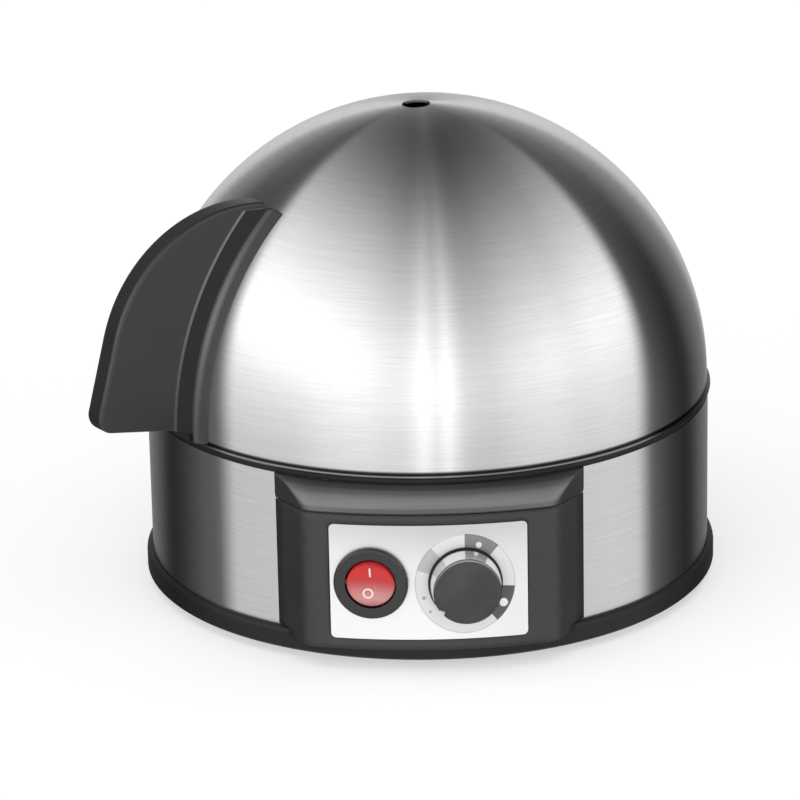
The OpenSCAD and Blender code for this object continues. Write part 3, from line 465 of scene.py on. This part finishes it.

# %% [markdown]
# The hood of the console. Light is painted on its slope, which lies open to the light: it is a paler grey.
# Shade is painted on a narrow strip close under the lid and on the upright ends, which are near black. A
# second material on some faces could do this, but its border would be hard. So the painted light follows
# the height, and the normal tells the slope, which faces upwards, from the ends.

# %% Hood
HOOD_LOW, HOOD_HIGH = 0.0516, 0.0596
HOOD_DRIFT = 0.12
SLOPE_PAINTED_LIGHT_STOPS = ((0.0, 0.088), (0.35, 0.110), (0.56, 0.085), (0.70, 0.034), (0.85, 0.011), (1.0, 0.005))
tree, shader, place = moulded("hood_plastic", CHARCOAL, 0.42, specular=1.0)
haze = add(tree, "ShaderNodeTexNoise", Vector=place, Scale=SLOW_SCALE, Detail=SLOW_DETAIL).outputs["Fac"]
own_z = add(tree, "ShaderNodeSeparateXYZ", Vector=place).outputs["Z"]
climb = maths(tree, "DIVIDE", maths(tree, "SUBTRACT", own_z, HOOD_LOW), HOOD_HIGH - HOOD_LOW)
drift = maths(tree, "MULTIPLY", maths(tree, "SUBTRACT", haze, 0.5), HOOD_DRIFT)
# Painted light and shade: paler on the open slope, near black close under the lid and on the upright ends.
slope = ramp(tree, maths(tree, "ADD", climb, drift), SLOPE_PAINTED_LIGHT_STOPS)
normal = add(tree, "ShaderNodeNewGeometry").outputs["Normal"]
normal_z = add(tree, "ShaderNodeSeparateXYZ", Vector=normal).outputs["Z"]
upward = ramp(tree, normal_z, ((0.10, 0.0), (0.35, 1.0)))
give(tree, shader.inputs["Base Color"], two_tone(tree, upward, SHADED, slope))
print("hood from", HOOD_LOW, "to", HOOD_HIGH)

# %% [markdown]
# The handle. The fin widens at its root into a foot on the dome, and a narrow land runs along that foot
# where the thumb lies. To tell these strips apart they could be painted by hand on the mesh, but each
# lies at a set distance from the handle's middle plane, so that distance finds them on both sides.

# %% Strips of the handle
HANDLE_TURN = math.radians(-55.5)
HANDLE_SIDE = Vector((math.cos(HANDLE_TURN), math.sin(HANDLE_TURN), 0.0))
HANDLE_LOW, HANDLE_HIGH = 0.060, 0.130
LAND_MIDDLE, LAND_HALF = 0.0078, 0.0012
FACET = (0.00438, 0.0068)
ROOT_LINE = (0.00405, 0.00438)


def along(tree, place, origin, direction):
    """Metres from the origin to the place, measured along a direction."""
    return vector(tree, "DOT_PRODUCT", vector(tree, "SUBTRACT", place, origin)[0], direction)["Value"]


def between(tree, value, low, high):
    """1 where the value lies between two lengths."""
    return maths(tree, "MULTIPLY", maths(tree, "GREATER_THAN", value, low),
                 maths(tree, "LESS_THAN", value, high))


tree, shader, place = moulded("handle_plastic", (0.014, 0.014, 0.0145), 0.40, edge=0.0005)
aside = maths(tree, "ABSOLUTE", along(tree, place, Vector((0.0, 0.0, 0.0)), HANDLE_SIDE))
own_z = add(tree, "ShaderNodeSeparateXYZ", Vector=place).outputs["Z"]
climb = maths(tree, "DIVIDE", maths(tree, "SUBTRACT", own_z, HANDLE_LOW), HANDLE_HIGH - HANDLE_LOW)
from_land = maths(tree, "ABSOLUTE", maths(tree, "SUBTRACT", aside, LAND_MIDDLE))
land = ramp(tree, maths(tree, "DIVIDE", from_land, LAND_HALF), ((0.0, 1.0), (0.35, 0.9), (1.0, 0.0)), "EASE")
facet = between(tree, aside, *FACET)
root = between(tree, aside, *ROOT_LINE)
print("handle land", round(LAND_MIDDLE * 1000, 2), "mm from its middle plane")

# %% [markdown]
# Painted highlights and shade of the handle. Its long edges are painted pale as highlights, most of all
# half way up, and so is the land along the foot. The facet between them is painted near black as shade,
# with a thin painted highlight line where the fin starts. A sharp edge is where the rounded normal turns
# away from the true one, so the dot product of the two finds it without a painted mask.

# %% Painted highlights and shade of the handle
HANDLE_SHINE, FACET_SHINE = 0.62, 0.36
EDGE_HIGHLIGHT_RADIUS = 0.00035
EDGE_HIGHLIGHT_BY_HEIGHT = ((0.0, 0.15), (0.3, 0.45), (0.5, 0.8), (0.65, 0.75), (0.85, 0.35), (1.0, 0.04))
LAND_HIGHLIGHT_BY_HEIGHT = ((0.0, 0.25), (0.30, 0.60), (0.55, 1.0), (0.75, 0.8), (1.0, 0.25))
ROOT_HIGHLIGHT_BY_HEIGHT = ((0.0, 0.05), (0.35, 0.30), (0.7, 0.80), (1.0, 0.90))


def edge_highlight_mask(tree, rounded):
    """1 on a sharp edge, 0 away from it."""
    normal = add(tree, "ShaderNodeNewGeometry").outputs["Normal"]
    agreed = vector(tree, "DOT_PRODUCT", rounded, normal)["Value"]
    return ramp(tree, maths(tree, "SUBTRACT", 1.0, agreed), ((0.01, 0.0), (0.08, 1.0)))


haze = add(tree, "ShaderNodeTexNoise", Vector=place, Scale=SLOW_SCALE, Detail=SLOW_DETAIL).outputs["Fac"]
colour = ramp(tree, haze, ((0.35, 0.0115), (0.65, 0.0155)))
# Painted shade: the facet between the fin's root and the land is near black.
colour = two_tone(tree, facet, colour, (0.002, 0.002, 0.002))
edges = edge_highlight_mask(tree, round_edges(tree, EDGE_HIGHLIGHT_RADIUS))
# Painted highlights: pale edges, a pale line where the fin starts and a pale land, strongest half way up.
for strip, highlight_by_height, pale in ((edges, EDGE_HIGHLIGHT_BY_HEIGHT, (0.240, 0.240, 0.241)),
                          (root, ROOT_HIGHLIGHT_BY_HEIGHT, (0.130, 0.130, 0.131)),
                          (land, LAND_HIGHLIGHT_BY_HEIGHT, (0.125, 0.125, 0.126))):
    colour = two_tone(tree, maths(tree, "MULTIPLY", strip, ramp(tree, climb, highlight_by_height)), colour, pale)
give(tree, shader.inputs["Base Color"], colour)
shine = maths(tree, "MULTIPLY_ADD", facet, FACET_SHINE - HANDLE_SHINE, HANDLE_SHINE)
give(tree, shader.inputs["Specular IOR Level"], shine)
print("handle nodes:", len(tree.nodes))

# %% [markdown]
# Small metal parts: zinc-plated screws, the cast heat plate, the coated pan, the heat-tinted element,
# brass terminals and the bright sleeve of the knob. Each could have a graph of its own, but they share
# one recipe, a metal with mottled colour and a fine relief, and differ in their numbers.

# %% Metals
CLOUD_RATIO = 14.0
METAL_SPREAD, SPOT_SHARE, SPOT_STRENGTH = 0.07, 0.5, 0.3


def mottled_metal(name, dark, light, roughness, scale, depth, metallic=1.0, edge=0.0003):
    """Metal with spots and clouds between two tones; the light ones are smoother."""
    tree, shader, place = finish(name)
    spots = add(tree, "ShaderNodeTexNoise", Vector=place, Scale=scale, Detail=4.0, Roughness=0.6)
    clouds = add(tree, "ShaderNodeTexNoise", Vector=place, Scale=scale / CLOUD_RATIO, Detail=2.0)
    mottle = weighted(tree, spots.outputs["Fac"], clouds.outputs["Fac"], SPOT_SHARE)
    give(tree, shader.inputs["Base Color"], ramp(tree, mottle, ((0.35, dark), (0.65, light))))
    rough, smooth = roughness + METAL_SPREAD, roughness - METAL_SPREAD
    give(tree, shader.inputs["Roughness"], ramp(tree, mottle, ((0.35, rough), (0.65, smooth))))
    shader.inputs["Metallic"].default_value = metallic
    bump(tree, shader, spots.outputs["Fac"], SPOT_STRENGTH, depth, round_edges(tree, edge))


mottled_metal("zinc", (0.50, 0.50, 0.51), (0.68, 0.68, 0.69), 0.36, 900.0, 2e-5)
mottled_metal("pan_coat", (0.045, 0.045, 0.047), (0.075, 0.075, 0.078), 0.40, 1400.0, 3e-5, 0.35)
mottled_metal("cast_aluminium", (0.45, 0.45, 0.46), (0.66, 0.66, 0.67), 0.52, 500.0, 8e-5)
mottled_metal("element_steel", (0.16, 0.12, 0.10), (0.34, 0.29, 0.25), 0.42, 420.0, 2e-5)
mottled_metal("brass", (0.56, 0.38, 0.12), (0.74, 0.55, 0.24), 0.34, 700.0, 1e-5)
mottled_metal("knob_bright", (0.86, 0.86, 0.87), (0.94, 0.94, 0.95), 0.20, 1600.0, 5e-6, 1.0, 0.0004)
print("made:", len(materials), "finishes")

# %% [markdown]
# The places of the controls. They sit on a curved front, so the rocker and the knob each have an axis of
# their own. Those could be measured on the meshes, but the record gives both joints, so the prints
# below are measured from the joints.

# %% Places of the controls
joints = {joint["name"]: joint for joint in frame["record"]["behaviour"]["joints"]}
KNOB_AT, KNOB_INWARD = Vector(joints["knob_turn"]["pos_m"]), Vector(joints["knob_turn"]["axis"])
ROCKER_AT, ROCKER_LEFT = Vector(joints["rocker_tilt"]["pos_m"]), Vector(joints["rocker_tilt"]["axis"])
UPWARD = Vector((0.0, 0.0, 1.0))
KNOB_RIGHT = KNOB_INWARD.cross(UPWARD)
print("knob at", [round(v, 4) for v in KNOB_AT], "rocker at", [round(v, 4) for v in ROCKER_AT])

# %% [markdown]
# The face plate. A thin brushed sheet with the brush lines running from side to side, made by a noise
# that is long in x and short in z. Shade is painted on it: its tone runs from grey under the hood to nearly
# white at its foot, and it is a little darker towards the sides. The light alone could shade the sheet,
# but a painted gradient by height is easier to match to the photograph.

# %% Brushed sheet of the face plate
PLATE_HALF = 0.0185
BRUSH_ALONG, BRUSH_ACROSS = 30.0, 6000.0
BRUSH_STRENGTH, BRUSH_DEPTH = 0.12, 1e-5
PLATE_SIDE_SHADE, PLATE_DRIFT = 5.0, 0.10
PLATE_PAINTED_SHADE_STOPS = ((0.0, 0.985), (0.30, 0.96), (0.62, 0.88), (0.85, 0.72), (1.0, 0.62))
tree, shader, place = finish("plate_metal")
x, _, z = add(tree, "ShaderNodeSeparateXYZ", Vector=place).outputs
stretched = add(tree, "ShaderNodeCombineXYZ", X=maths(tree, "MULTIPLY", x, BRUSH_ALONG), Y=0.0,
                Z=maths(tree, "MULTIPLY", z, BRUSH_ACROSS)).outputs[0]
brush = add(tree, "ShaderNodeTexNoise", Vector=stretched, Scale=1.0, Detail=4.0, Roughness=0.6).outputs["Fac"]
# Painted shade: the sheet is darker under the hood and towards the sides.
height = maths(tree, "DIVIDE", maths(tree, "SUBTRACT", z, KNOB_AT.z - PLATE_HALF), 2 * PLATE_HALF)
tilted = maths(tree, "SUBTRACT", height, maths(tree, "MULTIPLY", maths(tree, "ABSOLUTE", x), PLATE_SIDE_SHADE))
level = maths(tree, "MULTIPLY_ADD", brush, PLATE_DRIFT, maths(tree, "SUBTRACT", tilted, PLATE_DRIFT / 2))
grey = ramp(tree, level, PLATE_PAINTED_SHADE_STOPS)
give(tree, shader.inputs["Roughness"], ramp(tree, brush, ((0.3, 0.46), (0.7, 0.38))))
bump(tree, shader, brush, BRUSH_STRENGTH, BRUSH_DEPTH)
print("plate:", 2000 * PLATE_HALF, "mm high")

# %% [markdown]
# The dial is printed on the sheet: a pale ring round the knob with three grey sectors for the settings
# and a few plain dots. An image texture could carry a print, but these shapes are circles and sectors,
# so the distance from the knob's axis says where the ring is, and the angle round it says which sector.
# The print is a little taller than wide and sits a little low, so that it looks round from above.

# %% Shape of the printed dial
DIAL_OUTER, DIAL_LINE = 0.0154, 0.0003
DIAL_DROP, DIAL_SQUASH = 0.0006, 0.951
across = along(tree, place, KNOB_AT, KNOB_RIGHT)
above = maths(tree, "MULTIPLY", along(tree, place, KNOB_AT - DIAL_DROP * UPWARD, UPWARD), DIAL_SQUASH)
far = reach(tree, across, above)
turn = maths(tree, "MULTIPLY_ADD", maths(tree, "ARCTAN2", across, above), 0.5 / math.pi, 0.5)
printed = maths(tree, "LESS_THAN", far, DIAL_OUTER)
outline = maths(tree, "GREATER_THAN", far, DIAL_OUTER - DIAL_LINE)
print("dial:", 2000 * DIAL_OUTER, "mm wide")

# %% [markdown]
# The colours of the dial. Printing ink is matt and covers the metal, so the print is not metallic. A
# sector starts at a share of a full turn and ends where the next one starts, which is what a Color Ramp
# with constant steps does. A dot is a small circle at an angle and a radius, and one loop lays them on.

# %% Colours of the printed dial
SHEET_METALLIC, LINE_INK = 0.85, 0.35


def tone(value):
    """Linear light of an 8-bit screen tone."""
    v = value / 255.0
    return v / 12.92 if v <= 0.04045 else ((v + 0.055) / 1.055) ** 2.4


DIAL_SECTORS = ((0.0, tone(222)), (0.2956, tone(185)), (0.381, tone(222)), (0.5, tone(128)),
                (0.614, tone(222)), (0.7644, tone(84)), (0.889, tone(222)))
DIAL_DOTS = ((20.0, 0.0126, 0.0009, tone(228)), (118.8, 0.0134, 0.0013, tone(236)),
             (252.0, 0.0133, 0.0006, tone(165)), (232.0, 0.0137, 0.0004, tone(150)))
ink = ramp(tree, turn, DIAL_SECTORS, "CONSTANT")
ink = two_tone(tree, maths(tree, "MULTIPLY", outline, LINE_INK), ink, (tone(120),) * 3)
for angle, radius, size, shade in DIAL_DOTS:
    dot_x, dot_z = radius * math.sin(math.radians(angle)), radius * math.cos(math.radians(angle))
    off = reach(tree, maths(tree, "SUBTRACT", across, dot_x), maths(tree, "SUBTRACT", above, dot_z))
    ink = two_tone(tree, maths(tree, "LESS_THAN", off, size), ink, (shade,) * 3)
give(tree, shader.inputs["Base Color"], two_tone(tree, printed, grey, ink))
metallic = maths(tree, "MULTIPLY_ADD", printed, -SHEET_METALLIC, SHEET_METALLIC)
give(tree, shader.inputs["Metallic"], metallic)
print("dial:", len(DIAL_SECTORS), "sectors,", len(DIAL_DOTS), "dots")

# %% [markdown]
# The red rocker. It is red plastic with light and shade painted on it: its lower half is painted paler as
# the highlight it catches, and its upper half a deeper red as shade. The colour follows the height on the
# rocker.

# %% Red of the rocker
ROCKER_R, ROCKER_DRIFT = 0.0076, 0.10
CLOUD_STRENGTH, CLOUD_DEPTH, ROCKER_EDGE = 0.1, 2e-5, 0.0005
RED_PAINTED_LIGHT_STOPS = ((0.0, (0.46, 0.020, 0.024)), (0.22, (0.60, 0.024, 0.022)), (0.40, (0.54, 0.030, 0.030)),
             (0.56, (0.50, 0.095, 0.090)), (0.70, (0.56, 0.21, 0.20)), (0.85, (0.60, 0.27, 0.26)),
             (1.0, (0.48, 0.14, 0.15)))
tree, shader, place = finish("rocker_red")
across = along(tree, place, ROCKER_AT, ROCKER_LEFT)
above = along(tree, place, ROCKER_AT, UPWARD)
cloud = add(tree, "ShaderNodeTexNoise", Vector=place, Scale=260.0, Detail=3.0).outputs["Fac"]
# Painted light and shade: a deeper red at the top and paler towards the bottom.
down = maths(tree, "MULTIPLY_ADD", above, -0.5 / ROCKER_R, 0.5)
level = maths(tree, "MULTIPLY_ADD", cloud, ROCKER_DRIFT, maths(tree, "SUBTRACT", down, ROCKER_DRIFT / 2))
red = ramp(tree, level, RED_PAINTED_LIGHT_STOPS)
give(tree, shader.inputs["Roughness"], ramp(tree, cloud, ((0.3, 0.20), (0.7, 0.28))))
bump(tree, shader, cloud, CLOUD_STRENGTH, CLOUD_DEPTH, round_edges(tree, ROCKER_EDGE))
print("red from", ROCKER_R, "over the axis to", -ROCKER_R)

# %% [markdown]
# The marks of the rocker. Every such switch carries a stroke for on and a ring for off. They could be
# thin solids, but a print has no height, so they are part of the colour: a stroke is near a point in
# both directions, and a ring is near a circle.

# %% Marks of the rocker
STROKE_AT, STROKE_HALF = 0.0041, (0.00026, 0.0016)
RING_AT, RING_R, RING_HALF = (0.0009, -0.0033), 0.0014, 0.00027
MARK = (0.86, 0.70, 0.70)
from_stroke = maths(tree, "ABSOLUTE", maths(tree, "SUBTRACT", above, STROKE_AT))
stroke = maths(tree, "MULTIPLY", maths(tree, "LESS_THAN", maths(tree, "ABSOLUTE", across), STROKE_HALF[0]),
               maths(tree, "LESS_THAN", from_stroke, STROKE_HALF[1]))
from_middle = reach(tree, maths(tree, "SUBTRACT", across, RING_AT[0]),
                    maths(tree, "SUBTRACT", above, RING_AT[1]))
from_ring = maths(tree, "ABSOLUTE", maths(tree, "SUBTRACT", from_middle, RING_R))
ring = maths(tree, "LESS_THAN", from_ring, RING_HALF)
give(tree, shader.inputs["Base Color"], two_tone(tree, maths(tree, "MAXIMUM", stroke, ring), red, MARK))
print("made:", len(materials), "finishes")

# %% [markdown]
# The knob. It is one dark moulding with a satin face. Its foot next to the dial is painted black as the
# shadow there, and its rim is painted pale at its top as a highlight. The face is a little crowned, so
# that light fades across it. The crown is too slight to model: a bump whose height falls with the square
# of the radius bends the normals as a real crown of that radius would.

# %% Knob
FOOT_TOP, FOOT_ROUGHNESS = 0.0015, 0.8
CROWN_R, KNOB_EDGE = 0.055, 0.0004
KNOB_STRENGTH, KNOB_DEPTH = 0.3, 1.5e-5
RIM_AT, RIM_R = 0.0086, 0.0100
FACE_STOPS = ((0.35, (0.030, 0.030, 0.031)), (0.65, (0.042, 0.042, 0.044)))
tree, shader, place = finish("knob_grey")
outward = along(tree, place, KNOB_AT, -KNOB_INWARD)
above = along(tree, place, KNOB_AT, UPWARD)
far = reach(tree, along(tree, place, KNOB_AT, KNOB_RIGHT), above)
grain = add(tree, "ShaderNodeTexNoise", Vector=place, Scale=2600.0, Detail=2.0).outputs["Fac"]
worn = add(tree, "ShaderNodeTexNoise", Vector=place, Scale=150.0, Detail=3.0).outputs["Fac"]
# Painted shadow: the foot next to the dial is near black.
foot = maths(tree, "LESS_THAN", outward, FOOT_TOP)
# Painted highlight: the rim is pale, most of all at its top.
rim = maths(tree, "MULTIPLY", maths(tree, "GREATER_THAN", outward, RIM_AT),
            maths(tree, "GREATER_THAN", far, RIM_R))
top_highlight_share = ramp(tree, maths(tree, "DIVIDE", above, RIM_R), ((0.0, 0.0), (0.6, 0.6), (1.0, 1.0)))
colour = two_tone(tree, foot, ramp(tree, worn, FACE_STOPS), (0.003, 0.003, 0.003))
colour = two_tone(tree, maths(tree, "MULTIPLY", rim, top_highlight_share), colour, (0.24, 0.24, 0.24))
give(tree, shader.inputs["Base Color"], colour)
satin = ramp(tree, worn, ((0.35, 0.32), (0.65, 0.40)))
foot_dull = maths(tree, "MULTIPLY", foot, FOOT_ROUGHNESS)
give(tree, shader.inputs["Roughness"], maths(tree, "MAXIMUM", satin, foot_dull))
fall = maths(tree, "MULTIPLY", maths(tree, "MULTIPLY", far, far), -0.5 / CROWN_R)
crown = add(tree, "ShaderNodeBump", Strength=1.0, Distance=1.0, Height=fall,
            Normal=round_edges(tree, KNOB_EDGE))
bump(tree, shader, grain, KNOB_STRENGTH, KNOB_DEPTH, crown.outputs["Normal"])
print("made:", len(materials), "finishes")

# %% [markdown]
# Every solid takes the finish of its slot, which the record lists for each node. Three black mouldings
# have a variant of their own: the two rings are painted a darker charcoal as the shade they lie in, and
# are duller, and the console has softer edges. The handle and its screws could be mirrored in the dome
# too, but in the photograph the steel beside them shows the studio alone, so mirror rays pass them by.

# %% Give each solid its finish
OWN_FINISH = {"base_ring": "ring_plastic_painted_shade", "rim_ring": "ring_plastic_painted_shade", "control_console": "console_plastic"}
for subpart in frame["record"]["subparts"]:
    name = subpart["node"]
    nodes[name].data.materials.clear()
    nodes[name].data.materials.append(materials[OWN_FINISH.get(name, subpart["material_slot"])])
for name in ("lid_handle", "handle_screws"):
    nodes[name].visible_glossy = False
